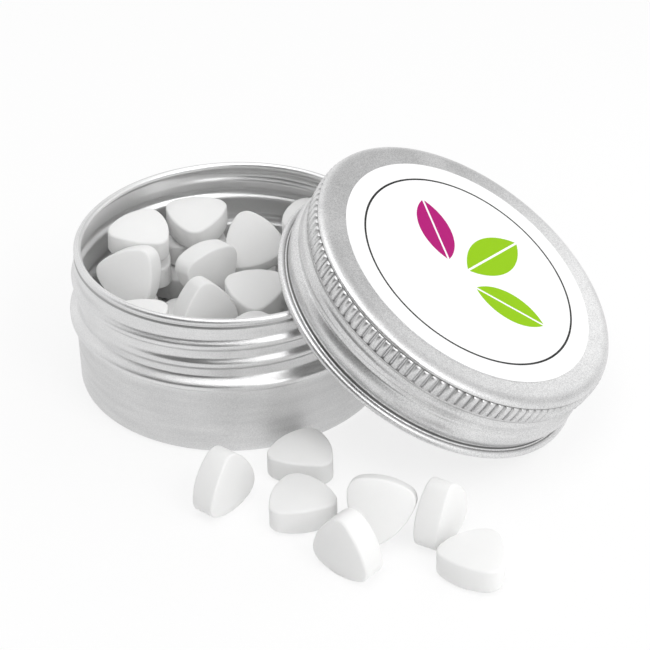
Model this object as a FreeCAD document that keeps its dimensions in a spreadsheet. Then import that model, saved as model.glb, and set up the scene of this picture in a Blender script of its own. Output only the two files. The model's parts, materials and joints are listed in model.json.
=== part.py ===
import FreeCAD, Part
import math
import os
import re
import Sketcher

# A round screw-top mint tin of rolled aluminium sheet, open, with its lid leaning on the rim,
# mints heaped inside and seven more spilled in front.
# Millimetres and degrees. The origin is the centre of the tin's underside, +Z is up.

SIZES = {
    # Tin
    "body_radius": 25.5,
    "tin_height": 24.3,
    "tin_sheet": 0.35,
    "base_corner": 1.2,
    "neck_inset": 0.45,
    "rim_inset": 0.05,
    "rim_roll": 0.6,
    "rim_tuck": 0.45,
    "rim_tuck_height": 0.6,
    "stop_rise": 0.9,
    "stop_crest": 0.9,
    "stop_lower_slope": 0.5,
    "stop_upper_slope": 1.3,
    # Thread rolled into the neck
    "thread_depth": 0.65,
    "thread_pitch": 3.3,
    "thread_turns": 1.6,
    "thread_drop": 7.9,
    "thread_start": -115.0,
    "thread_root_half": 1.0,
    "thread_crest_half": 0.3,
    # Lid
    "lid_height": 12.0,
    "lid_sheet": 0.3,
    "lid_corner": 1.2,
    "lid_roll": 0.6,
    "thread_clearance": 0.2,
    "seat_clearance": 0.35,
    "lid_bead_rise": 0.3,
    "lid_bead_low": 1.6,
    "lid_bead_width": 2.8,
    "lid_bead_slope": 0.5,
    "lid_thread_depth": 0.5,
    "lid_thread_turns": 0.9,
    "lid_thread_start": -190.0,
    "lid_thread_root_half": 0.6,
    "lid_thread_crest_half": 0.15,
    "lid_thread_seat": 1.1,
    "knurl_band": 3.2,
    "knurl_drop": 1.0,
    "knurl_base_rise": 0.15,
    "knurl_rise": 0.25,
    "knurl_count": 116,
    "knurl_gap": 0.5,
    "knurl_flank": 0.12,
    # Foam liner inside the lid and the paper label on top of it
    "liner_thickness": 1.0,
    "liner_margin": 1.4,
    "liner_clearance": 0.05,
    "label_margin": 4.25,
    "label_thickness": 0.12,
    # How the lid leans
    "lean_angle": 32.0,
    "lean_azimuth": -19.0,
    "lean_clearance": 0.1,
    # Mint
    "mint_side_radius": 11.0,
    "mint_reach": 4.4,
    "mint_height": 4.8,
    "mint_dome_radius": 28.0,
    "mint_corner": 2.2,
    "mint_edge": 0.4,
    "mint_clearance": 0.15,
    "mint_layers": 2,
}

NODES = []

doc = FreeCAD.newDocument("mint_tin")
sheet = doc.addObject("Spreadsheet::Sheet", "Sizes")
for row, (alias, value) in enumerate(SIZES.items(), start=1):
    sheet.set("A%d" % row, alias)
    sheet.set("B%d" % row, str(value))
    sheet.setAlias("B%d" % row, alias)
doc.recompute()


def cells(text):
    """Turn size names in an expression into references to the sheet."""
    return re.sub(r"[a-z]\w+", lambda found: "Sizes." + found.group(0), text)


def value(text):
    """Work out an expression of size names as a plain number."""
    return float(sheet.evalExpression(cells(text)))


# Radii and heights that several pieces share.
NECK = "(body_radius - neck_inset)"
RIM_MIDDLE = "(body_radius - neck_inset - rim_inset - rim_roll)"
RIM_LEVEL = "(tin_height - rim_roll)"
CREST = "(body_radius - neck_inset + thread_depth)"
SKIRT_INSIDE = "(body_radius - neck_inset + thread_depth + thread_clearance)"
SKIRT = "(body_radius - neck_inset + thread_depth + thread_clearance + lid_sheet)"
LID_ROLL_MIDDLE = "(body_radius - neck_inset + thread_depth + thread_clearance + lid_roll)"
# Height of the lid's rolled edge when the lid is screwed down on the rim.
SHUT_LEVEL = "(tin_height + liner_thickness + liner_clearance + lid_sheet - lid_height)"
STOP_LEVEL = "(%s - lid_roll - seat_clearance)" % SHUT_LEVEL
THREAD_LEVEL = "(tin_height - thread_drop)"


def new_body(label):
    body = doc.addObject("PartDesign::Body", label)
    body.Label = label
    return body


def origin_feature(body, role):
    for feature in body.Origin.OriginFeatures:
        if feature.Role == role:
            return feature
    raise ValueError("no origin feature " + role)


def outline_sketch(body, name, role, corners):
    """Closed outline of straight edges; each corner is a pair of expressions of size names."""
    sketch = body.newObject("Sketcher::SketchObject", name)
    sketch.AttachmentSupport = [(origin_feature(body, role), "")]
    sketch.MapMode = "FlatFace"
    points = [FreeCAD.Vector(value(across), value(along), 0) for across, along in corners]
    count = len(points)
    for index in range(count):
        sketch.addGeometry(Part.LineSegment(points[index], points[(index + 1) % count]), False)
    for index in range(count):
        sketch.addConstraint(Sketcher.Constraint("Coincident", index, 2, (index + 1) % count, 1))
    for index, corner in enumerate(corners):
        pin_point(sketch, index, "DistanceX", -2, corner[0], points[index].x)
        pin_point(sketch, index, "DistanceY", -1, corner[1], points[index].y)
    return sketch


def pin_point(sketch, index, kind, axis, expression, distance):
    """Hold the start of an edge on an axis or at a distance that follows the sheet."""
    if expression == "0":
        sketch.addConstraint(Sketcher.Constraint("PointOnObject", index, 1, axis))
        return
    number = sketch.addConstraint(Sketcher.Constraint(kind, -1, 1, index, 1, distance))
    sketch.setExpression("Constraints[%d]" % number, cells(expression))


def revolve(body, name, sketch):
    feature = body.newObject("PartDesign::Revolution", name)
    feature.Profile = sketch
    feature.ReferenceAxis = (sketch, ["V_Axis"])
    feature.Angle = 360
    return feature


def rolled_edge(body, name, middle_radius, roll_radius, level):
    """Sheet edge curled into a ring."""
    ring = body.newObject("PartDesign::AdditiveTorus", name)
    ring.AttachmentSupport = [(origin_feature(body, "XY_Plane"), "")]
    ring.MapMode = "FlatFace"
    ring.setExpression("Radius1", cells(middle_radius))
    ring.setExpression("Radius2", cells(roll_radius))
    if level != "0":
        ring.setExpression("AttachmentOffset.Base.z", cells(level))
    return ring


def screw_ridge(body, kind, name, section, start, turns):
    """Ridge or groove of the given section wound right-handed about the body's axis."""
    sketch = outline_sketch(body, name + "_section", "XZ_Plane", section)
    upright = FreeCAD.Vector(0, 1, 0)
    sketch.AttachmentOffset = FreeCAD.Placement(FreeCAD.Vector(), FreeCAD.Rotation(upright, value(start)))
    helix = body.newObject(kind, name)
    helix.Profile = sketch
    helix.ReferenceAxis = (sketch, ["V_Axis"])
    helix.Mode = 1
    helix.setExpression("Pitch", cells("thread_pitch"))
    helix.setExpression("Turns", cells(turns))
    return helix


def round_edges(body, name, radius, wanted):
    """Fillet the edges of the body's tip for which wanted(edge) is true."""
    doc.recompute()
    base = body.Tip
    names = ["Edge%d" % number for number, edge in enumerate(base.Shape.Edges, start=1) if wanted(edge)]
    if not names:
        raise ValueError("no edge to round in " + name)
    fillet = body.newObject("PartDesign::Fillet", name)
    fillet.Base = (base, names)
    fillet.setExpression("Radius", cells(radius))
    return fillet


def ring_edge_at(radius, level):
    """Test for a circular edge about the axis with this radius at this level."""
    near = 0.001

    def test(edge):
        curve = edge.Curve
        if not isinstance(curve, Part.Circle):
            return False
        return abs(curve.Radius - value(radius)) < near and abs(curve.Center.z - value(level)) < near

    return test


def finish_node(node):
    NODES.append(node)
    return node


def build_tin():
    body = new_body("tin_body")
    stop = "(body_radius + stop_rise)"
    tuck = "(%s - rim_tuck)" % NECK
    tuck_level = RIM_LEVEL
    neck_top = "(%s - rim_tuck_height)" % RIM_LEVEL
    crest_low = "(%s - stop_crest / 2)" % STOP_LEVEL
    crest_high = "(%s + stop_crest / 2)" % STOP_LEVEL
    wall_top = "(%s - stop_lower_slope)" % crest_low
    neck_low = "(%s + stop_upper_slope)" % crest_high
    outside = [
        ("body_radius", "0"),
        ("body_radius", wall_top),
        (stop, crest_low),
        (stop, crest_high),
        (NECK, neck_low),
        (NECK, neck_top),
        (tuck, tuck_level),
    ]
    inside = [(across + " - tin_sheet", along) for across, along in reversed(outside[1:])]
    inside += [("body_radius - tin_sheet", "tin_sheet"), ("0", "tin_sheet")]
    profile = outline_sketch(body, "tin_profile", "XZ_Plane", [("0", "0")] + outside + inside)
    revolve(body, "tin_wall", profile)
    round_edges(body, "base_edge", "base_corner", ring_edge_at("body_radius", "0"))
    inner_corner = ring_edge_at("body_radius - tin_sheet", "tin_sheet")
    round_edges(body, "base_inner_edge", "base_corner - tin_sheet", inner_corner)
    rolled_edge(body, "rim", RIM_MIDDLE, "rim_roll", RIM_LEVEL)
    ridge = [
        (NECK + " - tin_sheet / 2", THREAD_LEVEL + " - thread_root_half"),
        (CREST, THREAD_LEVEL + " - thread_crest_half"),
        (CREST, THREAD_LEVEL + " + thread_crest_half"),
        (NECK + " - tin_sheet / 2", THREAD_LEVEL + " + thread_root_half"),
    ]
    screw_ridge(body, "PartDesign::AdditiveHelix", "thread", ridge, "thread_start", "thread_turns")
    hollow = [
        (NECK + " - 2 * tin_sheet", THREAD_LEVEL + " - thread_root_half"),
        (NECK + " - tin_sheet", THREAD_LEVEL + " - thread_root_half + tin_sheet / 2"),
        (CREST + " - tin_sheet", THREAD_LEVEL + " - thread_crest_half"),
        (CREST + " - tin_sheet", THREAD_LEVEL + " + thread_crest_half"),
        (NECK + " - tin_sheet", THREAD_LEVEL + " + thread_root_half - tin_sheet / 2"),
        (NECK + " - 2 * tin_sheet", THREAD_LEVEL + " + thread_root_half"),
    ]
    screw_ridge(body, "PartDesign::SubtractiveHelix", "thread_hollow", hollow, "thread_start", "thread_turns")
    return finish_node(body)


def build_lid_shell():
    body = new_body("lid_shell")
    bead = "(%s + lid_bead_rise)" % SKIRT
    band = "(%s + knurl_base_rise)" % SKIRT
    bead_high = "(lid_bead_low + lid_bead_width)"
    band_top = "(lid_height - knurl_drop)"
    band_low = "(lid_height - knurl_drop - knurl_band)"
    outside = [
        (SKIRT, "0"),
        (SKIRT, "lid_bead_low"),
        (bead, "lid_bead_low + lid_bead_slope"),
        (bead, bead_high + " - lid_bead_slope"),
        (SKIRT, bead_high),
        (SKIRT, band_low + " - knurl_base_rise"),
        (band, band_low),
        (band, "lid_height"),
    ]
    inside = [
        ("0", "lid_height - lid_sheet"),
        (SKIRT_INSIDE, "lid_height - lid_sheet"),
        (SKIRT_INSIDE, bead_high),
        (bead + " - lid_sheet", bead_high + " - lid_bead_slope"),
        (bead + " - lid_sheet", "lid_bead_low + lid_bead_slope"),
        (SKIRT_INSIDE, "lid_bead_low"),
        (SKIRT_INSIDE, "0"),
    ]
    profile = outline_sketch(body, "lid_profile", "XZ_Plane", outside + [("0", "lid_height")] + inside)
    revolve(body, "lid_wall", profile)
    round_edges(body, "lid_edge", "lid_corner", ring_edge_at(band, "lid_height"))
    inner_corner = ring_edge_at(SKIRT_INSIDE, "lid_height - lid_sheet")
    round_edges(body, "lid_inner_edge", "lid_corner - lid_sheet", inner_corner)
    rolled_edge(body, "lid_rolled_edge", LID_ROLL_MIDDLE, "lid_roll", "0")
    thread_level = "(%s - %s - lid_thread_seat + thread_pitch * (lid_thread_start - thread_start + 360) / 360)"
    thread_level = thread_level % (THREAD_LEVEL, SHUT_LEVEL)
    ridge = [
        (SKIRT_INSIDE + " + lid_sheet / 2", thread_level + " - lid_thread_root_half"),
        (SKIRT_INSIDE + " + lid_sheet / 2", thread_level + " + lid_thread_root_half"),
        (SKIRT_INSIDE + " - lid_thread_depth", thread_level + " + lid_thread_crest_half"),
        (SKIRT_INSIDE + " - lid_thread_depth", thread_level + " - lid_thread_crest_half"),
    ]
    screw_ridge(body, "PartDesign::AdditiveHelix", "lid_thread", ridge, "lid_thread_start", "lid_thread_turns")
    add_knurl(body, band, band_low)
    return finish_node(body)


def add_knurl(body, band, band_low):
    """Ring of raised grip ribs round the lid's skirt."""
    half_pitch = str(math.pi) + " * (%s + knurl_rise) / knurl_count" % band
    top_half = "(%s - knurl_gap / 2 - knurl_flank)" % half_pitch
    root_half = "(%s - knurl_gap / 2)" % half_pitch
    rib_section = [
        (band + " - lid_sheet / 2", "-" + root_half),
        (band + " - lid_sheet / 2", root_half),
        (band, root_half),
        (band + " + knurl_rise", top_half),
        (band + " + knurl_rise", "-" + top_half),
        (band, "-" + root_half),
    ]
    sketch = outline_sketch(body, "rib_section", "XY_Plane", rib_section)
    sketch.setExpression("AttachmentOffset.Base.z", cells(band_low))
    rib = body.newObject("PartDesign::Pad", "rib")
    rib.Profile = sketch
    rib.setExpression("Length", cells("knurl_band - lid_corner + knurl_drop"))
    doc.recompute()
    ribs = body.newObject("PartDesign::PolarPattern", "ribs")
    ribs.Originals = [rib]
    ribs.Axis = (origin_feature(body, "Z_Axis"), [""])
    ribs.Angle = 360
    ribs.setExpression("Occurrences", cells("knurl_count"))
    body.Tip = ribs


def disc_node(label, radius, thickness, level):
    """Plain round sheet about the lid's axis."""
    disc = doc.addObject("Part::Cylinder", label)
    disc.Label = label
    disc.setExpression("Radius", cells(radius))
    disc.setExpression("Height", cells(thickness))
    disc.setExpression("Placement.Base.z", cells(level))
    return disc


def gap_to_rim(middle, turn):
    """Least distance from the middle of the lid's roll to the middle of the tin's roll."""
    radius = value(LID_ROLL_MIDDLE)
    steps = 1440
    least = math.inf
    for step in range(steps):
        angle = 2 * math.pi * step / steps
        point = middle + turn.multVec(FreeCAD.Vector(radius * math.cos(angle), radius * math.sin(angle), 0))
        across = math.hypot(point.x, point.y) - value(RIM_MIDDLE)
        least = min(least, math.hypot(across, point.z - value(RIM_LEVEL)))
    return least


def leaning_pose():
    """Pose of the lid with its rolled edge on the floor on one side and across the tin's rim on the other."""
    azimuth = math.radians(value("lean_azimuth"))
    angle = value("lean_angle")
    outward = FreeCAD.Vector(math.cos(azimuth), math.sin(azimuth), 0)
    hinge = FreeCAD.Vector(-math.sin(azimuth), math.cos(azimuth), 0)
    turn = FreeCAD.Rotation(hinge, angle)
    height = value(LID_ROLL_MIDDLE) * math.sin(math.radians(angle)) + value("lid_roll + lean_clearance")
    level = FreeCAD.Vector(0, 0, height)
    wanted = value("rim_roll + lid_roll + lean_clearance")
    far = value(LID_ROLL_MIDDLE) + value(RIM_MIDDLE) + 2 * wanted
    while gap_to_rim(level + outward * (far - wanted), turn) > wanted:
        far -= wanted
    near = far - wanted
    for _ in range(12):
        middle = (near + far) / 2
        if gap_to_rim(level + outward * middle, turn) > wanted:
            far = middle
        else:
            near = middle
    return FreeCAD.Placement(level + outward * far, turn)


def build_lid():
    shell = build_lid_shell()
    under_top = "lid_height - lid_sheet - liner_clearance - liner_thickness"
    liner = disc_node("lid_liner", SKIRT_INSIDE + " - liner_margin", "liner_thickness", under_top)
    label = disc_node("lid_label", SKIRT + " - label_margin", "label_thickness", "lid_height")
    doc.recompute()
    pose = leaning_pose()
    shell.Placement = pose
    for disc in (liner, label):
        height = disc.Placement.Base
        disc.setExpression("Placement.Base.z", None)
        disc.Placement = FreeCAD.Placement(pose.multVec(height), pose.Rotation)
        finish_node(disc)


def rounded(base, name, radius, wanted):
    fillet = doc.addObject("Part::Fillet", name)
    fillet.Base = base
    size = value(radius)
    edges = enumerate(base.Shape.Edges, start=1)
    fillet.Edges = [(number, size, size) for number, edge in edges if wanted(edge)]
    doc.recompute()
    return fillet


def build_mint_form():
    """One pressed mint about its own middle: three bowed sides between two shallow domes."""
    shapes = []
    for side in range(3):
        wall = doc.addObject("Part::Cylinder", "mint_side")
        wall.setExpression("Radius", cells("mint_side_radius"))
        wall.setExpression("Height", cells("mint_height"))
        offset = cells("(mint_side_radius - mint_reach)")
        wall.setExpression("Placement.Base.x", "%s * cos(%d deg)" % (offset, 120 * side))
        wall.setExpression("Placement.Base.y", "%s * sin(%d deg)" % (offset, 120 * side))
        wall.setExpression("Placement.Base.z", cells("-mint_height / 2"))
        shapes.append(wall)
    for sense in (1, -1):
        dome = doc.addObject("Part::Sphere", "mint_dome")
        dome.setExpression("Radius", cells("mint_dome_radius"))
        dome.Placement.Rotation = FreeCAD.Rotation(FreeCAD.Vector(1, 0, 0), 90)
        drop = cells("(mint_dome_radius - mint_height / 2)")
        dome.setExpression("Placement.Base.z", "%d * %s" % (sense, drop))
        shapes.append(dome)
    core = doc.addObject("Part::MultiCommon", "mint_core")
    core.Shapes = shapes
    doc.recompute()
    corners = rounded(core, "mint_corners", "mint_corner", lambda edge: abs(upright_share(edge)) > 0.5)
    return rounded(corners, "mint_form", "mint_edge", lambda edge: abs(upright_share(edge)) < 0.5)


def upright_share(edge):
    """How much of the edge's length goes straight up."""
    start = edge.valueAt(edge.FirstParameter)
    end = edge.valueAt(edge.LastParameter)
    return (end.z - start.z) / edge.Length


def corner_reach():
    """Distance from a mint's middle to its rounded corner."""
    offset = value("mint_side_radius - mint_reach")
    inner = value("mint_side_radius - mint_corner")
    return -offset / 2 + math.sqrt(inner ** 2 - 0.75 * offset ** 2) + value("mint_corner")


def mint_turn(heading, lean, turn):
    """A mint's turn: its flat face leans towards the heading, after a turn about its own axis."""
    upright = FreeCAD.Vector(0, 0, 1)
    leaning = FreeCAD.Rotation(FreeCAD.Vector(0, 1, 0), lean)
    return FreeCAD.Rotation(upright, heading) * leaning * FreeCAD.Rotation(upright, turn)


class MintBody:
    """A mint in a pose, with the clearance round it, for finding where the next one comes to rest."""

    def __init__(self, points, pose):
        self.pose = pose
        self.inverse = pose.inverse()
        self.points = [pose.multVec(point) for point in points]
        self.lowest = min(point.z for point in self.points)
        spare = value("mint_clearance")
        self.reach = math.hypot(corner_reach(), value("mint_height / 2")) + spare
        offset = value("mint_side_radius - mint_reach")
        radius = value("mint_side_radius") + spare
        self.walls = [(0.0, 0.0, corner_reach() + spare)]
        for side in range(3):
            angle = math.radians(120 * side)
            self.walls.append((offset * math.cos(angle), offset * math.sin(angle), radius))
        self.dome_radius = value("mint_dome_radius") + spare
        self.dome_drop = value("mint_dome_radius - mint_height / 2")

    def column(self, point):
        """Bottom and top of the mint on the upright line through a point, or None beside it."""
        start = self.inverse.multVec(point)
        way = self.inverse.Rotation.multVec(FreeCAD.Vector(0, 0, 1))
        low = -math.inf
        high = math.inf
        flat = way.x ** 2 + way.y ** 2
        tests = []
        for x, y, radius in self.walls:
            along = (start.x - x) * way.x + (start.y - y) * way.y
            tests.append((flat, along, (start.x - x) ** 2 + (start.y - y) ** 2 - radius ** 2))
        for middle in (self.dome_drop, -self.dome_drop):
            along = start.dot(way) - middle * way.z
            apart = start.x ** 2 + start.y ** 2 + (start.z - middle) ** 2
            tests.append((1.0, along, apart - self.dome_radius ** 2))
        for square, along, outside in tests:
            if square < 1e-9:
                if outside > 0:
                    return None
                continue
            root = along ** 2 - square * outside
            if root <= 0:
                return None
            low = max(low, (-along - math.sqrt(root)) / square)
            high = min(high, (-along + math.sqrt(root)) / square)
        if low >= high:
            return None
        return point.z + low, point.z + high


def lift_over(upper, lower):
    """How far the upper mint rises to lie clear on top of the lower one."""
    lift = 0.0
    apart = upper.pose.Base - lower.pose.Base
    if math.hypot(apart.x, apart.y) > 2 * upper.reach:
        return lift
    for point in upper.points:
        column = lower.column(point)
        if column:
            lift = max(lift, column[1] - point.z)
    for point in lower.points:
        column = upper.column(point)
        if column:
            lift = max(lift, point.z - column[0])
    return lift


def place_mint(form, label, pose):
    mint = doc.addObject("Part::Compound", label)
    mint.Label = label
    mint.Links = [form]
    mint.Placement = pose
    return mint


def layer_level(number):
    return value("tin_sheet") + number * value("mint_height + mint_clearance")


def free_radius():
    """How far from the tin's axis the middle of a mint can lie."""
    return value(NECK + " - tin_sheet - mint_clearance") - corner_reach()


def build_layers(form, points):
    """Flat layers on the tin's floor: rings of as many mints as fit. Gives the mints of the top layer."""
    room = corner_reach() + value("mint_clearance") / 2
    for number in range(round(value("mint_layers"))):
        mints = []
        top_layer = []
        ring = free_radius()
        middle = layer_level(number) + value("mint_clearance + mint_height / 2")
        while ring > room:
            count = math.floor(math.pi / math.asin(room / ring))
            for index in range(count):
                azimuth = 360.0 * (index + number / 2) / count
                angle = math.radians(azimuth)
                base = FreeCAD.Vector(ring * math.cos(angle), ring * math.sin(angle), middle)
                pose = FreeCAD.Placement(base, mint_turn(azimuth, 0, 180))
                mints.append(place_mint(form, "layer_mint", pose))
                top_layer.append(MintBody(points, pose))
            ring -= 2 * room
        layer = doc.addObject("Part::Compound", "mint_layer_%d" % (number + 1))
        layer.Label = "mint_layer_%d" % (number + 1)
        layer.Links = mints
        finish_node(layer)
    return top_layer


# Heaped mints in the order they were dropped: place across and away as shares of the free radius,
# then heading, lean and turn.
HEAP = [
    (-0.80, 0.585, 0, 0, 75),
    (-0.345, 0.915, 0, 0, 90),
    (-0.87, 0.15, -110, 72, 146),
    (0.165, 0.725, -95, 42, 200),
    (-0.23, 0.335, -50, 85, 0),
    (0.20, 0.0, -90, 8, 120),
    (-0.235, -0.29, -60, 82, 180),
    (-0.79, -0.385, 0, 0, 40),
    (0.80, -0.40, 0, 0, 60),
    (0.195, -0.64, 0, 0, 90),
    (0.89, 0.21, -100, 10, 160),
    (-0.395, -0.81, 0, 0, 10),
    (0.68, 0.72, 0, 0, 100),
    (-0.80, 0.565, -60, 6, 135),
    (-0.335, 0.88, -90, 6, 120),
]

# Spilled mints on the floor: place across and in front of the tin's wall in mint reaches,
# then heading, lean and turn.
SPILL = [
    (-0.2, -2.9, -39, 90, 180),
    (2.5, -1.07, 0, 0, 75),
    (2.42, -3.7, 0, 0, 102),
    (5.06, -4.85, -97, 62, 110),
    (7.08, -4.9, -31, 90, 180),
    (3.95, -6.5, -131, 90, 180),
    (8.1, -6.85, 0, 0, 58),
]


def build_heap(form, points, top_layer):
    """Each mint comes down until it lies on the top layer or on a mint dropped before it."""
    resting = list(top_layer)
    floor = layer_level(value("mint_layers") - 1) + value("mint_clearance")
    for number, (across, away, heading, lean, turn) in enumerate(HEAP, start=1):
        turned = mint_turn(heading, lean, turn)
        base = FreeCAD.Vector(across * free_radius(), away * free_radius(), 0)
        mint = MintBody(points, FreeCAD.Placement(base, turned))
        base.z = floor - mint.lowest
        mint = MintBody(points, FreeCAD.Placement(base, turned))
        lift = max([lift_over(mint, other) for other in resting], default=0.0)
        base.z += lift
        resting.append(MintBody(points, FreeCAD.Placement(base, turned)))
        finish_node(place_mint(form, "heap_mint_%02d" % number, FreeCAD.Placement(base, turned)))


def build_spill(form, points):
    for number, (across, away, heading, lean, turn) in enumerate(SPILL, start=1):
        turned = mint_turn(heading, lean, turn)
        lowest = min(turned.multVec(point).z for point in points)
        base = FreeCAD.Vector(across, away, 0) * value("mint_reach")
        base += FreeCAD.Vector(0, -value("body_radius"), -lowest)
        finish_node(place_mint(form, "loose_mint_%d" % number, FreeCAD.Placement(base, turned)))


def build_mints():
    form = build_mint_form()
    pole = FreeCAD.Vector(0, 0, value("mint_height / 2"))
    points = form.Shape.tessellate(1.0)[0][::6] + [pole, -pole]
    top_layer = build_layers(form, points)
    build_heap(form, points, top_layer)
    build_spill(form, points)


build_tin()
build_lid()
build_mints()
doc.recompute()

for thing in doc.Objects:
    if "Invalid" in thing.State or "Error" in thing.State:
        raise RuntimeError("%s did not compute: %s" % (thing.Label, thing.State))
for node in NODES:
    if node.Shape.isNull() or not node.Shape.isValid():
        raise RuntimeError("%s has no valid shape" % node.Label)

os.makedirs("parts", exist_ok=True)
for node in NODES:
    node.Shape.exportStep("parts/%s.step" % node.Label)
    print(node.Label, len(node.Shape.Solids), round(node.Shape.Volume, 1))
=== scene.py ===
import json
from math import cos, degrees, pi, radians, sin

import bmesh
import bpy
from mathutils import Matrix, Vector


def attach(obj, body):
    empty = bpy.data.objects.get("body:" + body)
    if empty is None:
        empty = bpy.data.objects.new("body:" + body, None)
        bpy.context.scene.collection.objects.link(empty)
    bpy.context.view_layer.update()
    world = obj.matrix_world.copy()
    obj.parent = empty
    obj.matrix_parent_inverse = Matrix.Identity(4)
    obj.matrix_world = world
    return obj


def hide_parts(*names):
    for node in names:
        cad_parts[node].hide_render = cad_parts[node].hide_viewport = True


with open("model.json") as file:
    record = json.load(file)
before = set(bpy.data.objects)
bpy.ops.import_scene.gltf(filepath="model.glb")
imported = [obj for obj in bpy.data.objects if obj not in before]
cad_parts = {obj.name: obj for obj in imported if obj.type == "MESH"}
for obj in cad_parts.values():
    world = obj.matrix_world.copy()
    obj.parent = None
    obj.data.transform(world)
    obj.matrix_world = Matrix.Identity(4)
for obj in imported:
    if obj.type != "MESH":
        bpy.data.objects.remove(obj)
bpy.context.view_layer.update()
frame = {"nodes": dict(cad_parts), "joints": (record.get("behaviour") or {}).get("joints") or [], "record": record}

scene = bpy.context.scene
scene.view_settings.view_transform = "Standard"
mm = 0.001
weldGap = 1e-7
joints = {joint["name"]: joint for joint in frame["joints"]}


class Wire:
    # a node's output that can be used in plain sums
    def __init__(self, board, socket):
        self.board = board
        self.socket = socket

    def sum(self, operation, first, second):
        values = {0: first, 1: second}
        return self.board.add("ShaderNodeMath", {"operation": operation}, values)

    def __add__(self, other):
        return self.sum("ADD", self, other)

    __radd__ = __add__

    def __sub__(self, other):
        return self.sum("SUBTRACT", self, other)

    def __rsub__(self, other):
        return self.sum("SUBTRACT", other, self)

    def __mul__(self, other):
        return self.sum("MULTIPLY", self, other)

    __rmul__ = __mul__

    def __truediv__(self, other):
        return self.sum("DIVIDE", self, other)

    def __rtruediv__(self, other):
        return self.sum("DIVIDE", other, self)

    def __pow__(self, other):
        return self.sum("POWER", self, other)

    def __gt__(self, other):
        return self.sum("GREATER_THAN", self, other)

    def __lt__(self, other):
        return self.sum("LESS_THAN", self, other)


class Board:
    # the node tree of one material or of the world
    def __init__(self, holder):
        self.holder = holder
        holder.use_nodes = True
        self.tree = holder.node_tree
        self.tree.nodes.clear()

    def add(self, kind, settings=None, inputs=None, out=0):
        node = self.tree.nodes.new(kind)
        for key, setting in (settings or {}).items():
            setattr(node, key, setting)
        for key, source in (inputs or {}).items():
            if isinstance(source, Wire):
                self.tree.links.new(source.socket, node.inputs[key])
            else:
                node.inputs[key].default_value = source
        return Wire(self, node.outputs[out]) if len(node.outputs) else node

    def surface(self, wire, kind="ShaderNodeOutputMaterial"):
        self.add(kind, None, {"Surface": wire})
        return self.holder

    def parts(self, vector):
        return [self.add("ShaderNodeSeparateXYZ", None, {0: vector}, axis) for axis in "XYZ"]

    def rise(self, wire, low, high):
        values = {"Value": wire, "From Min": low, "From Max": high}
        return self.add("ShaderNodeMapRange", {"interpolation_type": "SMOOTHSTEP"}, values)

    def seenBy(self, kind):
        return self.add("ShaderNodeLightPath", None, None, "Is %s Ray" % kind)

    def place(self, middle=None, turn=None):
        here = self.add("ShaderNodeTexCoord", None, None, "Object")
        if middle is None:
            return here
        mapped = {"Vector": here, "Location": middle, "Rotation": turn}
        return self.add("ShaderNodeMapping", {"vector_type": "TEXTURE"}, mapped)

    def stretched(self, place, scale):
        return self.add("ShaderNodeMapping", None, {"Vector": place, "Scale": scale})

    def noise(self, place, scale, detail, roughness):
        values = {"Vector": place, "Scale": scale, "Detail": detail, "Roughness": roughness}
        return self.add("ShaderNodeTexNoise", None, values, "Fac")

    def mix(self, factor, first, second):
        values = {0: factor, 6: first, 7: second}
        return self.add("ShaderNodeMix", {"data_type": "RGBA"}, values, 2)

    def finish(self, look, colour, roughness, relief, more=None):
        # bump strength and depth, in metres, come from the piece's own look
        bump = {"Height": relief, "Strength": look["bump"], "Distance": look["bumpDepth"]}
        values = {"Base Color": colour, "Roughness": roughness, **(more or {})}
        values["Normal"] = self.add("ShaderNodeBump", None, bump)
        return self.surface(self.add("ShaderNodeBsdfPrincipled", None, values))


def metres(sizes):
    return [size * mm for size in sizes]


def ease(share):
    share = min(max(share, 0.0), 1.0)
    return share * share * (3 - 2 * share)


def steps(span, gap):
    first, last = span
    count = max(1, round(abs(last - first) / gap))
    return [first + (last - first) * step / count for step in range(count + 1)]


def arc(middle, radius, sweep, count):
    # points on part of a circle, in degrees from the outward side
    first, last = sweep
    points = []
    for step in range(count + 1):
        angle = radians(first + (last - first) * step / count)
        points.append((middle[0] + radius * cos(angle), middle[1] + radius * sin(angle)))
    return points


# rows of a spun skin are (radius, height, share of the helix), in mm
def plainRows(points):
    return [(radius, height, 0) for radius, height in points]


def discRows(radii, height):
    return [(radius, height, 0) for radius in radii]


def wallRows(radius, heights, share=0):
    return [(radius, height, share) for height in heights]


def helixSwell(helix, angle, height):
    # how far a rolled thread moves the sheet: where two laps meet, the stronger counts
    swell = 0.0
    fade = helix["fade"]
    turn = (degrees(angle) - helix["start"]) / 360
    for lap in range(-2, 3):
        along = turn + lap
        if along < -fade or along > helix["turns"] + fade:
            continue
        ends = ease((along + fade) / (2 * fade))
        ends *= ease((helix["turns"] + fade - along) / (2 * fade))
        off = abs(height - helix["level"] - helix["pitch"] * (along - helix["lead"]))
        rise = ends * helix["rise"] * ease((helix["half"] - off) / helix["slope"])
        if abs(rise) > abs(swell):
            swell = rise
    return swell


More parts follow.
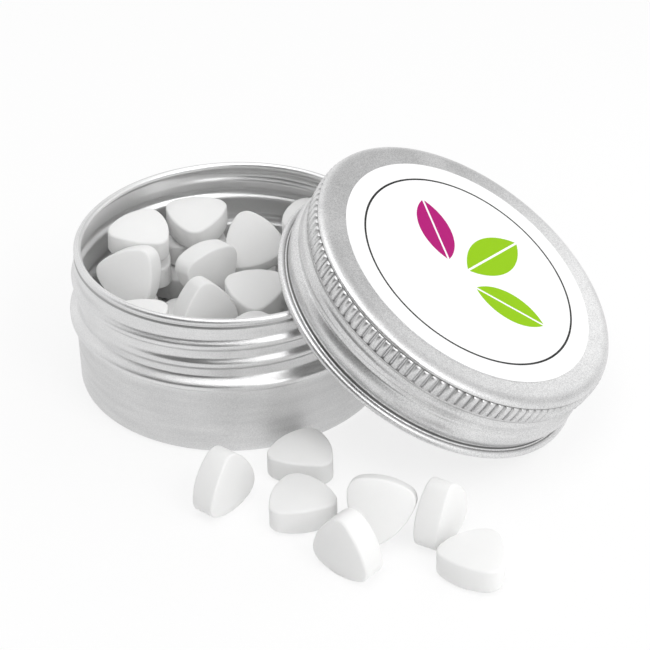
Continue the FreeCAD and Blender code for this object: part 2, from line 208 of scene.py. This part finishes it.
def spun(name, rows, columns, helix, pose, body, node, material):
    # closed skin of rows turned about the upright axis
    verts = []
    rings = []
    for radius, height, share in rows:
        if radius == 0:
            rings.append([len(verts)])
            verts.append(pose @ Vector((0, 0, height * mm)))
            continue
        ring = []
        for column in range(columns):
            angle = 2 * pi * column / columns
            out = radius + (share * helixSwell(helix, angle, height) if share else 0)
            ring.append(len(verts))
            place = (out * cos(angle) * mm, out * sin(angle) * mm, height * mm)
            verts.append(pose @ Vector(place))
        rings.append(ring)
    faces = []
    for low, high in zip(rings, rings[1:]):
        for column in range(columns):
            after = (column + 1) % columns
            if len(low) == 1:
                faces.append((low[0], high[column], high[after]))
            elif len(high) == 1:
                faces.append((low[column], low[after], high[0]))
            else:
                faces.append((low[column], low[after], high[after], high[column]))
    mesh = bpy.data.meshes.new(name)
    mesh.from_pydata(verts, [], faces)
    return finishedPiece(name, mesh, body, node, material)


def finishedPiece(name, mesh, body, node, material, recalculate=True):
    work = bmesh.new()
    work.from_mesh(mesh)
    bmesh.ops.remove_doubles(work, verts=work.verts, dist=weldGap)
    if recalculate:
        bmesh.ops.recalc_face_normals(work, faces=work.faces)
    for face in work.faces:
        face.smooth = True
    work.to_mesh(mesh)
    work.free()
    mesh.materials.clear()
    mesh.materials.append(material)
    piece = bpy.data.objects.new(name, mesh)
    scene.collection.objects.link(piece)
    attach(piece, body)
    if node:
        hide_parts(node)
    return piece


# where the lid leans, from its own spin joint
lidMiddle = Vector(joints["lid_spin"]["pos_m"])
lidAxis = Vector(joints["lid_spin"]["axis"]).normalized()
leanHinge = Vector((0, 0, 1)).cross(lidAxis).normalized()
leanTurn = Matrix.Rotation(lidAxis.angle(Vector((0, 0, 1))), 4, leanHinge)
lidPose = Matrix.Translation(lidMiddle) @ leanTurn
lidTurn = tuple(leanTurn.to_euler())


# noises are (scale, detail, roughness)
metalLook = {
    "roughness": 0.38, "roughPatch": 0.12, "roughStreak": 0.10,
    "streak": (900, 3, 0.5), "stretch": (0.12, 0.12, 1.0), "grain": (5200, 2, 0.6),
    "patch": (160, 2, 0.5), "streakShare": 0.8, "patchShare": 0.5,
    # the crease colour is painted shade, used in the folds and between the grip pads
    "crease": (0.16, 0.16, 0.16, 1), "creaseShadeSoft": (0.1, 1.0),
    "bump": 0.75, "bumpDepth": 0.00005, "bumpGrain": 0.7, "bumpStreak": 0.3,
}


def satinMetal(name, look, middle, turn, dress):
    board = Board(bpy.data.materials.new(name))
    here = board.place(middle, turn)
    streaks = board.noise(board.stretched(here, metalLook["stretch"]), *metalLook["streak"])
    grain = board.noise(here, *metalLook["grain"])
    patches = board.noise(here, *metalLook["patch"])
    tone = 0.5 + (streaks - 0.5) * metalLook["streakShare"] + (grain - 0.5) * look["speckle"]
    tone = tone + (patches - 0.5) * metalLook["patchShare"]
    colour = board.mix(tone, look["worn"], look["shade"])
    east, north, height = board.parts(here)
    # painted shade: a dark line along each fold of the sheet, where shade would fall
    for level, half, depth in look["creaseShadeLines"]:
        off = (height - level * mm) / (half * mm)
        clear = board.rise(off * off, *metalLook["creaseShadeSoft"])
        colour = board.mix((1 - clear) * depth, colour, metalLook["crease"])
    colour, dull = dress(board, look, colour, east, north, height)
    rough = dull + metalLook["roughness"] + (patches - 0.5) * metalLook["roughPatch"]
    rough = rough + (streaks - 0.5) * metalLook["roughStreak"]
    relief = grain * metalLook["bumpGrain"] + streaks * metalLook["bumpStreak"]
    return board.finish(metalLook, colour, rough, relief, {"Metallic": 1.0})


# painted shade lines along the folds are (level, half width, depth of the painted dark line), spans run from none
# to full
tinLook = {
    "shade": (0.84, 0.84, 0.84, 1), "worn": (0.60, 0.60, 0.603, 1), "speckle": 1.2,
    "creaseShadeLines": ((23.02, 0.25, 0.6),),
    # the inside colour and its spans are painted light on the sheet's inner side
    "inside": (0.95, 0.95, 0.95, 1), "insideSpan": (0.002, 0.006), "insideLightShare": 0.9,
    "dull": 0.2, "dullSpan": (10.5, 12),
}
# in mm, and the stop is the bead that the lid comes down to
tinSizes = {
    "columns": 300, "height": 24.3, "sheet": 0.35, "wall": 25.5, "neck": 25.05,
    "corner": 1.2, "baseRings": (0, 12, 22), "floorRings": (20, 10, 0),
    "wallSpan": (2, 11.4), "wallGap": 1.4, "neckSpan": (14.7, 22.7), "neckGap": 0.2,
    "stopSpan": (11.6, 14.5), "stopGap": 0.12, "stopGapInside": 0.16,
    "stopLevel": 12.7, "stopRise": 0.9, "stopBelow": 1.1, "stopSlope": 0.95,
    "stopFlat": 0.25, "stopFall": 1.5,
    "lip": ((-0.05, 22.95), (-0.14, 23.12)), "lipInside": (-0.2, 23.0),
    "roll": 0.6, "rollMiddle": 24.4, "rollSweep": (-40, 235),
    "thread": {
        "level": 16.4, "start": -115, "turns": 1.6, "pitch": 3.3, "lead": 0, "rise": 0.65,
        "half": 1.05, "slope": 0.8, "fade": 0.1,
    },
}


def paintedLightInside(board, look, colour, east, north, height):
    # painted light: the sheet's inner side is painted paler, and the plain wall below the bead duller
    normal = board.parts(board.add("ShaderNodeNewGeometry", None, None, "True Normal"))
    inward = 0 - (normal[0] * east + normal[1] * north)
    dull = look["dull"] * (1 - board.rise(height, *metres(look["dullSpan"])))
    share = board.rise(inward, *look["insideSpan"]) * look["insideLightShare"]
    return board.mix(share, colour, look["inside"]), dull


tinMetal = satinMetal("tinSatinMetal", tinLook, (0, 0, 0), (0, 0, 0), paintedLightInside)


def stopRadius(height):
    size = tinSizes
    crest = size["wall"] + size["stopRise"]
    if height < size["stopLevel"]:
        low = size["stopLevel"] - size["stopBelow"]
        return size["wall"] + size["stopRise"] * ease((height - low) / size["stopSlope"])
    past = height - size["stopLevel"] - size["stopFlat"]
    return crest - (crest - size["neck"]) * ease(past / size["stopFall"])


def makeTin():
    size = tinSizes
    corner, sheet, neck = size["corner"], size["sheet"], size["neck"]
    bend = (size["wall"] - corner, corner)
    roll = (size["rollMiddle"], size["height"] - size["roll"])
    rows = discRows(size["baseRings"], 0)
    rows += plainRows(arc(bend, corner, (-90, 0), 8))
    rows += wallRows(size["wall"], steps(size["wallSpan"], size["wallGap"]))
    for height in steps(size["stopSpan"], size["stopGap"]):
        rows.append((stopRadius(height), height, 0))
    rows += wallRows(neck, steps(size["neckSpan"], size["neckGap"]), 1)
    rows += [(neck + off, height, 0) for off, height in size["lip"]]
    rows += plainRows(arc(roll, size["roll"], size["rollSweep"], 26))
    # and back down the inner side
    rows.append((neck - sheet + size["lipInside"][0], size["lipInside"][1], 0))
    rows += wallRows(neck - sheet, steps(size["neckSpan"][::-1], size["neckGap"]), 1)
    for height in steps(size["stopSpan"][::-1], size["stopGapInside"]):
        rows.append((stopRadius(height) - sheet, height, 0))
    rows += wallRows(size["wall"] - sheet, steps(size["wallSpan"][::-1], size["wallGap"]))
    rows += plainRows(arc(bend, corner - sheet, (0, -90), 6))
    rows += discRows(size["floorRings"], sheet)
    upright = Matrix.Identity(4)
    spun("tin", rows, size["columns"], size["thread"], upright, "tin", "tin_body", tinMetal)


makeTin()
print("tin done")

lidLook = {
    "shade": (0.86, 0.86, 0.86, 1), "worn": (0.58, 0.58, 0.583, 1), "speckle": 2.6,
    # painted shade lines in the lid's groove, below the grip band and above it
    "creaseShadeLines": ((0.9, 0.3, 1.0), (7.4, 0.2, 0.3), (11.0, 0.2, 0.45)),
    # band, deep and end spans and the last two values set the painted shade between the grip pads
    "bandLow": (7.7, 7.9), "bandHigh": (10.85, 11.0), "deepSpan": (26.10, 26.36),
    "endLow": (7.9, 8.4), "endHigh": (10.4, 10.9), "valley": 0.25, "padEndShade": 0.4,
}
lidSizes = {
    "columns": 360, "height": 12.0, "sheet": 0.3, "skirt": 26.2, "inside": 25.9,
    "topRings": (0, 8, 16, 22, 23.6), "underRings": (18, 9, 0),
    "corner": 0.95, "shoulder": 2.1, "shoulderSweep": (90, 5),
    "band": 26.35, "bandEdge": (-0.10, 11.0), "valley": 26.08, "valleyEdge": (0.05, 10.92),
    "valleySpan": (10.8, 7.85), "valleyGap": 0.5,
    "step": ((0, 7.75, 0), (0, 7.65, 0), (-0.14, 7.5, 0), (-0.15, 7.25, 0), (-0.15, 7.1, 1),
             (-0.14, 6.8, 1), (-0.12, 6.5, 1)),
    "skirtSpan": (6.3, 4.5), "skirtGap": 0.1, "groove": 25.98, "grooveLevels": (1.2, 0.75),
    "beadSpan": (4.4, 1.45), "beadGap": 0.1, "beadTop": 4.45, "beadTall": 3.05, "beadRise": 0.44,
    "roll": 0.6, "rollMiddle": 26.5, "rollSweep": (130, -200),
    "insideSpan": (0.6, 10.7), "insideGap": 1.4,
    "crease": {
        "level": 5.27, "start": -190, "turns": 0.95, "pitch": 3.0, "lead": 0.28, "rise": -0.13,
        "half": 0.55, "slope": 0.25, "fade": 0.05,
    },
}


def paintedPadShade(board, look, colour, east, north, height):
    # painted shade: the grip band is darker between its pads, most of all at their ends
    def risen(span):
        return board.rise(height, *metres(look[span]))

    band = risen("bandLow") * (1 - risen("bandHigh"))
    reach = [radius ** 2 for radius in metres(look["deepSpan"])]
    deep = 1 - board.rise(east * east + north * north, *reach)
    ends = 1 - risen("endLow") + risen("endHigh")
    share = band * deep * (look["valley"] + look["padEndShade"] * ends)
    return board.mix(share, colour, metalLook["crease"]), 0.0


lidMetal = satinMetal("lidSatinMetal", lidLook, lidMiddle, lidTurn, paintedPadShade)


def makeLid():
    size = lidSizes
    top, skirt, groove = size["height"], size["skirt"], size["groove"]
    rows = discRows(size["topRings"], top)
    for across, up in arc((0, 0), 1, size["shoulderSweep"], 12):
        radius = size["band"] - size["shoulder"] + size["shoulder"] * across
        rows.append((radius, top - size["corner"] * (1 - up), 0))
    for level in ("band", "valley"):
        off, height = size[level + "Edge"]
        rows.append((size[level] + off, height, 0))
    rows += wallRows(size["valley"], steps(size["valleySpan"], size["valleyGap"]))
    rows += [(skirt + off, height, share) for off, height, share in size["step"]]
    rows += wallRows(skirt, steps(size["skirtSpan"], size["skirtGap"]), 1)
    for height in steps(size["beadSpan"], size["beadGap"]):
        share = (size["beadTop"] - height) / size["beadTall"]
        level = skirt + (groove - skirt) * share
        rows.append((level + size["beadRise"] * sin(pi * share), height, 0))
    rows += wallRows(groove, size["grooveLevels"])
    rows += plainRows(arc((size["rollMiddle"], 0), size["roll"], size["rollSweep"], 28))
    # and back up the inner side
    rows += wallRows(size["inside"], steps(size["insideSpan"], size["insideGap"]))
    bend = size["corner"] - size["sheet"]
    under = top - size["sheet"]
    rows += plainRows(arc((size["inside"] - bend, under - bend), bend, (0, 90), 6))
    rows += discRows(size["underRings"], under)
    spun("lid", rows, size["columns"], size["crease"], lidPose, "lid", "lid_shell", lidMetal)


makeLid()
print("lid done")


# a pad's outlines are (share of its width or length, share of its rise)
knurlSizes = {
    "count": 116, "radius": 26.06, "rise": 0.54, "low": 7.8, "high": 10.95, "width": 1.22,
    "across": ((-0.5, 0.0), (-0.4, 0.6), (-0.27, 0.94), (0.0, 1.0), (0.27, 0.94), (0.4, 0.6),
               (0.5, 0.0)),
    "along": ((0.0, 0.0), (0.05, 0.6), (0.12, 0.95), (0.5, 1.0), (0.88, 0.95), (0.95, 0.6),
              (1.0, 0.0)),
}


def knurlPad():
    # one raised pad with soft ends, standing on the skirt at the +X side
    size = knurlSizes
    tall = size["high"] - size["low"]
    verts = []
    for upShare, upRise in size["along"]:
        for sideShare, sideRise in size["across"]:
            verts.append((size["rise"] * upRise * sideRise * mm, size["width"] * sideShare * mm,
                          (size["low"] + tall * upShare) * mm))
    wide = len(size["across"])
    faces = []
    for row in range(len(size["along"]) - 1):
        for column in range(wide - 1):
            corner = row * wide + column
            faces.append((corner, corner + 1, corner + wide + 1, corner + wide))
    mesh = bpy.data.meshes.new("knurlPad")
    mesh.from_pydata(verts, [], faces)
    pad = bpy.data.objects.new("knurlPad", mesh)
    scene.collection.objects.link(pad)
    return pad


def knurlTree(material):
    # pads on the points of a circle, each turned to face outwards
    tree = bpy.data.node_groups.new("knurlRing", "GeometryNodeTree")
    names = {}
    sockets = {"Pad": "NodeSocketObject", "Count": "NodeSocketInt", "Radius": "NodeSocketFloat"}
    for name, kind in sockets.items():
        socket = tree.interface.new_socket(name, in_out="INPUT", socket_type=kind)
        names[name] = socket.identifier
    tree.interface.new_socket("Ring", in_out="OUTPUT", socket_type="NodeSocketGeometry")
    kinds = {
        "in": "NodeGroupInput", "circle": "GeometryNodeMeshCircle",
        "pad": "GeometryNodeObjectInfo", "index": "GeometryNodeInputIndex",
        "step": "ShaderNodeMath", "angle": "ShaderNodeMath", "turn": "ShaderNodeCombineXYZ",
        "copies": "GeometryNodeInstanceOnPoints", "real": "GeometryNodeRealizeInstances",
        "finish": "GeometryNodeSetMaterial", "out": "NodeGroupOutput",
    }
    made = {key: tree.nodes.new(kind) for key, kind in kinds.items()}
    made["step"].operation = "DIVIDE"
    made["step"].inputs[0].default_value = 2 * pi
    made["angle"].operation = "MULTIPLY"
    made["finish"].inputs["Material"].default_value = material
    for source, output, target, socket in (
            ("in", "Count", "circle", "Vertices"), ("in", "Radius", "circle", "Radius"),
            ("in", "Pad", "pad", "Object"), ("in", "Count", "step", 1),
            ("step", 0, "angle", 0), ("index", 0, "angle", 1), ("angle", 0, "turn", "Z"),
            ("circle", 0, "copies", "Points"), ("pad", "Geometry", "copies", "Instance"),
            ("turn", 0, "copies", "Rotation"), ("copies", 0, "real", 0),
            ("real", 0, "finish", 0), ("finish", 0, "out", 0)):
        tree.links.new(made[source].outputs[output], made[target].inputs[socket])
    return tree, names


def makeKnurl():
    pad = knurlPad()
    tree, names = knurlTree(lidMetal)
    holder = bpy.data.objects.new("knurlHolder", bpy.data.meshes.new("knurlHolder"))
    scene.collection.objects.link(holder)
    modifier = holder.modifiers.new("ring", "NODES")
    modifier.node_group = tree
    modifier[names["Pad"]] = pad
    modifier[names["Count"]] = knurlSizes["count"]
    modifier[names["Radius"]] = knurlSizes["radius"] * mm
    seen = holder.evaluated_get(bpy.context.evaluated_depsgraph_get())
    mesh = bpy.data.meshes.new_from_object(seen)
    bpy.data.objects.remove(holder)
    bpy.data.objects.remove(pad)
    mesh.transform(lidPose)
    return finishedPiece("lidKnurl", mesh, "lid", None, lidMetal, False)


makeKnurl()
print("knurl done")

# even values are the same all over the surface
mintLook = {
    "shade": (0.865, 0.865, 0.86, 1), "pale": (0.915, 0.915, 0.91, 1),
    "powder": (2600, 3, 0.6), "cloud": (260, 2, 0.5), "pits": (900, 2, 0.4),
    "powderShare": 0.4, "cloudShare": 0.6, "roughness": 0.78, "roughCloud": 0.15,
    "bump": 0.35, "bumpDepth": 0.00006, "bumpPowder": 0.5, "bumpPits": 0.5,
    "even": {
        "Specular IOR Level": 0.25, "Subsurface Weight": 0.3, "Subsurface Radius": (1, 1, 1),
        "Subsurface Scale": 0.002,
    },
}


def pressedMint():
    look = mintLook
    board = Board(bpy.data.materials.new("pressedMint"))
    here = board.place()
    powder, cloud, pits = [board.noise(here, *look[key]) for key in ("powder", "cloud", "pits")]
    tone = cloud * look["cloudShare"] + powder * look["powderShare"]
    colour = board.mix(tone, look["shade"], look["pale"])
    rough = look["roughness"] + (cloud - 0.5) * look["roughCloud"]
    relief = powder * look["bumpPowder"] + pits * look["bumpPits"]
    return board.finish(look, colour, rough, relief, look["even"])


mintFinish = pressedMint()


def makeMints():
    bodies = frame["record"]["behaviour"]["bodies"]
    for body, members in bodies.items():
        for node in members:
            if "mint" not in node:
                continue
            mesh = frame["nodes"][node].data.copy()
            mesh.name = node + "Look"
            finishedPiece(node + "Look", mesh, body, node, mintFinish, False)


makeMints()
print("mints done")

# leaves are (tint, heading in degrees, root, length, width)
labelLook = {
    "paper": (0.95, 0.95, 0.95, 1), "shade": (0.91, 0.91, 0.91, 1), "ink": (0.03, 0.03, 0.03, 1),
    "pink": (0.42, 0.004, 0.17, 1), "green": (0.28, 0.55, 0.0, 1),
    "fibre": (3000, 3, 0.6), "roughness": 0.5, "roughFibre": 0.1,
    "bump": 0.15, "bumpDepth": 0.00003, "even": {"Specular IOR Level": 0.12},
    "up": 52, "drop": 0.004, "lineRadius": 0.0188, "lineWidth": 0.00035, "vein": 0.00018,
    "leaves": (("pink", 150, 0.0035, 0.0125, 0.0062), ("green", 90, 0.0035, 0.0150, 0.0070),
               ("green", 30, 0.0035, 0.0125, 0.0062)),
}


def leafMask(across, up, heading, root, length, width):
    # pointed leaf between two circles, with a bare line along its middle
    angle = radians(heading)
    along = across * cos(angle) + up * sin(angle) - (root + length / 2)
    side = up * cos(angle) - across * sin(angle)
    radius = (length * length / 4 + width * width / 4) / width
    off = radius - width / 2
    left = along * along + (side + off) * (side + off) < radius * radius
    right = along * along + (side - off) * (side - off) < radius * radius
    return left * right * (side * side > labelLook["vein"] ** 2)


def labelPaper():
    look = labelLook
    board = Board(bpy.data.materials.new("labelPaper"))
    here = board.place(lidMiddle, lidTurn)
    flatX, flatY = board.parts(here)[:2]
    turn = radians(look["up"])
    up = flatX * cos(turn) + flatY * sin(turn)
    across = flatX * sin(turn) - flatY * cos(turn)
    fibre = board.noise(here, *look["fibre"])
    colour = board.mix(fibre, look["shade"], look["paper"])
    for tint, *leaf in look["leaves"]:
        colour = board.mix(leafMask(across, up + look["drop"], *leaf), colour, look[tint])
    reach = flatX * flatX + flatY * flatY
    inner, outer = look["lineRadius"] - look["lineWidth"], look["lineRadius"]
    line = (reach > inner * inner) * (reach < outer * outer)
    colour = board.mix(line, colour, look["ink"])
    rough = look["roughness"] + (fibre - 0.5) * look["roughFibre"]
    return board.finish(look, colour, rough, fibre, look["even"])


linerLook = {
    "shade": (0.80, 0.80, 0.79, 1), "pale": (0.88, 0.88, 0.87, 1), "cells": (2200, 2, 0.5),
    "roughness": 0.85, "roughCells": 0.1, "bump": 0.4, "bumpDepth": 0.00008,
}


def foamLiner():
    look = linerLook
    board = Board(bpy.data.materials.new("foamLiner"))
    cells = board.noise(board.place(), *look["cells"])
    colour = board.mix(cells, look["shade"], look["pale"])
    rough = look["roughness"] + (cells - 0.5) * look["roughCells"]
    return board.finish(look, colour, rough, cells)


for node, finish in (("lid_label", labelPaper()), ("lid_liner", foamLiner())):
    mesh = frame["nodes"][node].data
    mesh.materials.clear()
    mesh.materials.append(finish)
print("label and liner done")

# the metal mirrors two darker parts of the studio: spans are of facing and of height
stageLook = {
    "floor": (0.97, 0.97, 0.97, 1), "dull": (0.96, 0.96, 0.96, 1), "white": (1, 1, 1, 1),
    "half": 2.0, "tone": (40, 2, 0.5), "roughness": 0.9, "floorSeen": 0.8, "floorMirrored": 0.8,
    "ambient": 0.66, "lean": 0.4,
    "front": {"toward": (-0.57, -0.82), "facing": (0.55, 0.88), "low": (-0.02, 0.10),
              "high": (0.85, 0.97), "depth": 0.92},
    "back": {"toward": (0.72, 0.69), "facing": (0.6, 0.95), "low": (0.05, 0.2),
             "high": (0.75, 0.95), "depth": 0.42},
}


def makeFloor():
    look = stageLook
    half = look["half"]
    corners = [(-half, -half, 0), (half, -half, 0), (half, half, 0), (-half, half, 0)]
    mesh = bpy.data.meshes.new("floor")
    mesh.from_pydata(corners, [], [(0, 1, 2, 3)])
    board = Board(bpy.data.materials.new("paleFloor"))
    colour = board.mix(board.noise(board.place(), *look["tone"]), look["dull"], look["floor"])
    lit = board.add("ShaderNodeBsdfPrincipled", None, {
        "Base Color": colour, "Roughness": look["roughness"], "Specular IOR Level": 0.0})
    glow = board.add("ShaderNodeEmission", None, {"Color": look["white"]})
    share = board.seenBy("Camera") * look["floorSeen"]
    share = share + board.seenBy("Glossy") * look["floorMirrored"]
    shader = board.add("ShaderNodeMixShader", None, {0: share, 1: lit, 2: glow})
    mesh.materials.append(board.surface(shader))
    floor = bpy.data.objects.new("floor", mesh)
    scene.collection.objects.link(floor)


def makeWorld():
    # soft light, more from the right, and white where it is looked at
    look = stageLook
    scene.world = bpy.data.worlds.new("studio")
    board = Board(scene.world)
    east, north, up = board.parts(board.add("ShaderNodeTexCoord", None, None, "Generated"))
    level = (1.0001 - up * up) ** 0.5  # never nothing, even straight up

    def darker(part):
        facing = (east * part["toward"][0] + north * part["toward"][1]) / level
        share = board.rise(facing, *part["facing"]) * board.rise(up, *part["low"])
        return share * (1 - board.rise(up, *part["high"])) * part["depth"]

    glossy = board.seenBy("Glossy")
    looked = board.seenBy("Camera") + glossy + board.seenBy("Transmission")
    strengths = (look["ambient"] + east * look["lean"],
                 1 - (darker(look["front"]) + darker(look["back"])) * glossy)
    soft, bright = [
        board.add("ShaderNodeBackground", None, {"Color": look["white"], "Strength": strength})
        for strength in strengths]
    shader = board.add("ShaderNodeMixShader", None, {0: looked, 1: soft, 2: bright})
    board.surface(shader, "ShaderNodeOutputWorld")


# lights are (place, target, size, power)
lightSizes = {
    "keyLight": ((0.35, -0.42, 0.50), (0.02, -0.02, 0.01), 0.3, 0.95),
    "backLight": ((0.135, 0.057, 0.062), (0.05, -0.02, 0.02), 0.06, 0.0095),
    "topLight": ((-0.08, -0.12, 0.75), (0.01, -0.01, 0), 0.5, 1.5),
}


def softLight(name, place, target, size, power):
    lamp = bpy.data.lights.new(name, "AREA")
    lamp.shape = "SQUARE"
    lamp.size = size
    lamp.energy = power
    holder = bpy.data.objects.new(name, lamp)
    holder.location = place
    aim = Vector(target) - Vector(place)
    holder.rotation_euler = aim.to_track_quat("-Z", "Y").to_euler()
    holder.visible_camera = False
    scene.collection.objects.link(holder)


makeFloor()
makeWorld()
for name, light in lightSizes.items():
    softLight(name, *light)

# place in mm, angles in radians, focus and frame in pixels
cameraFit = {
    "place": (14.849, -294.375, 198.986), "elevation": 0.578, "roll": -0.0225,
    "focus": 2142.16, "frame": 650, "sensor": 36, "near": 0.01,
}


def makeCamera():
    size = cameraFit
    tilt = size["elevation"]
    ahead = Vector((0, cos(tilt), -sin(tilt)))
    up = Vector((0, sin(tilt), cos(tilt)))
    side = Vector((1, 0, 0))
    turn = cos(size["roll"]), sin(size["roll"])
    across = turn[0] * side + turn[1] * up
    upright = -turn[1] * side + turn[0] * up
    pose = Matrix((across, upright, -ahead)).transposed().to_4x4()
    pose.translation = Vector(size["place"]) * mm
    lens = bpy.data.cameras.new("photoCamera")
    lens.sensor_width = size["sensor"]
    lens.lens = size["focus"] * size["sensor"] / size["frame"]
    lens.clip_start = size["near"]
    camera = bpy.data.objects.new("photoCamera", lens)
    camera.matrix_world = pose
    scene.collection.objects.link(camera)
    scene.camera = camera


makeCamera()
print("stage done")
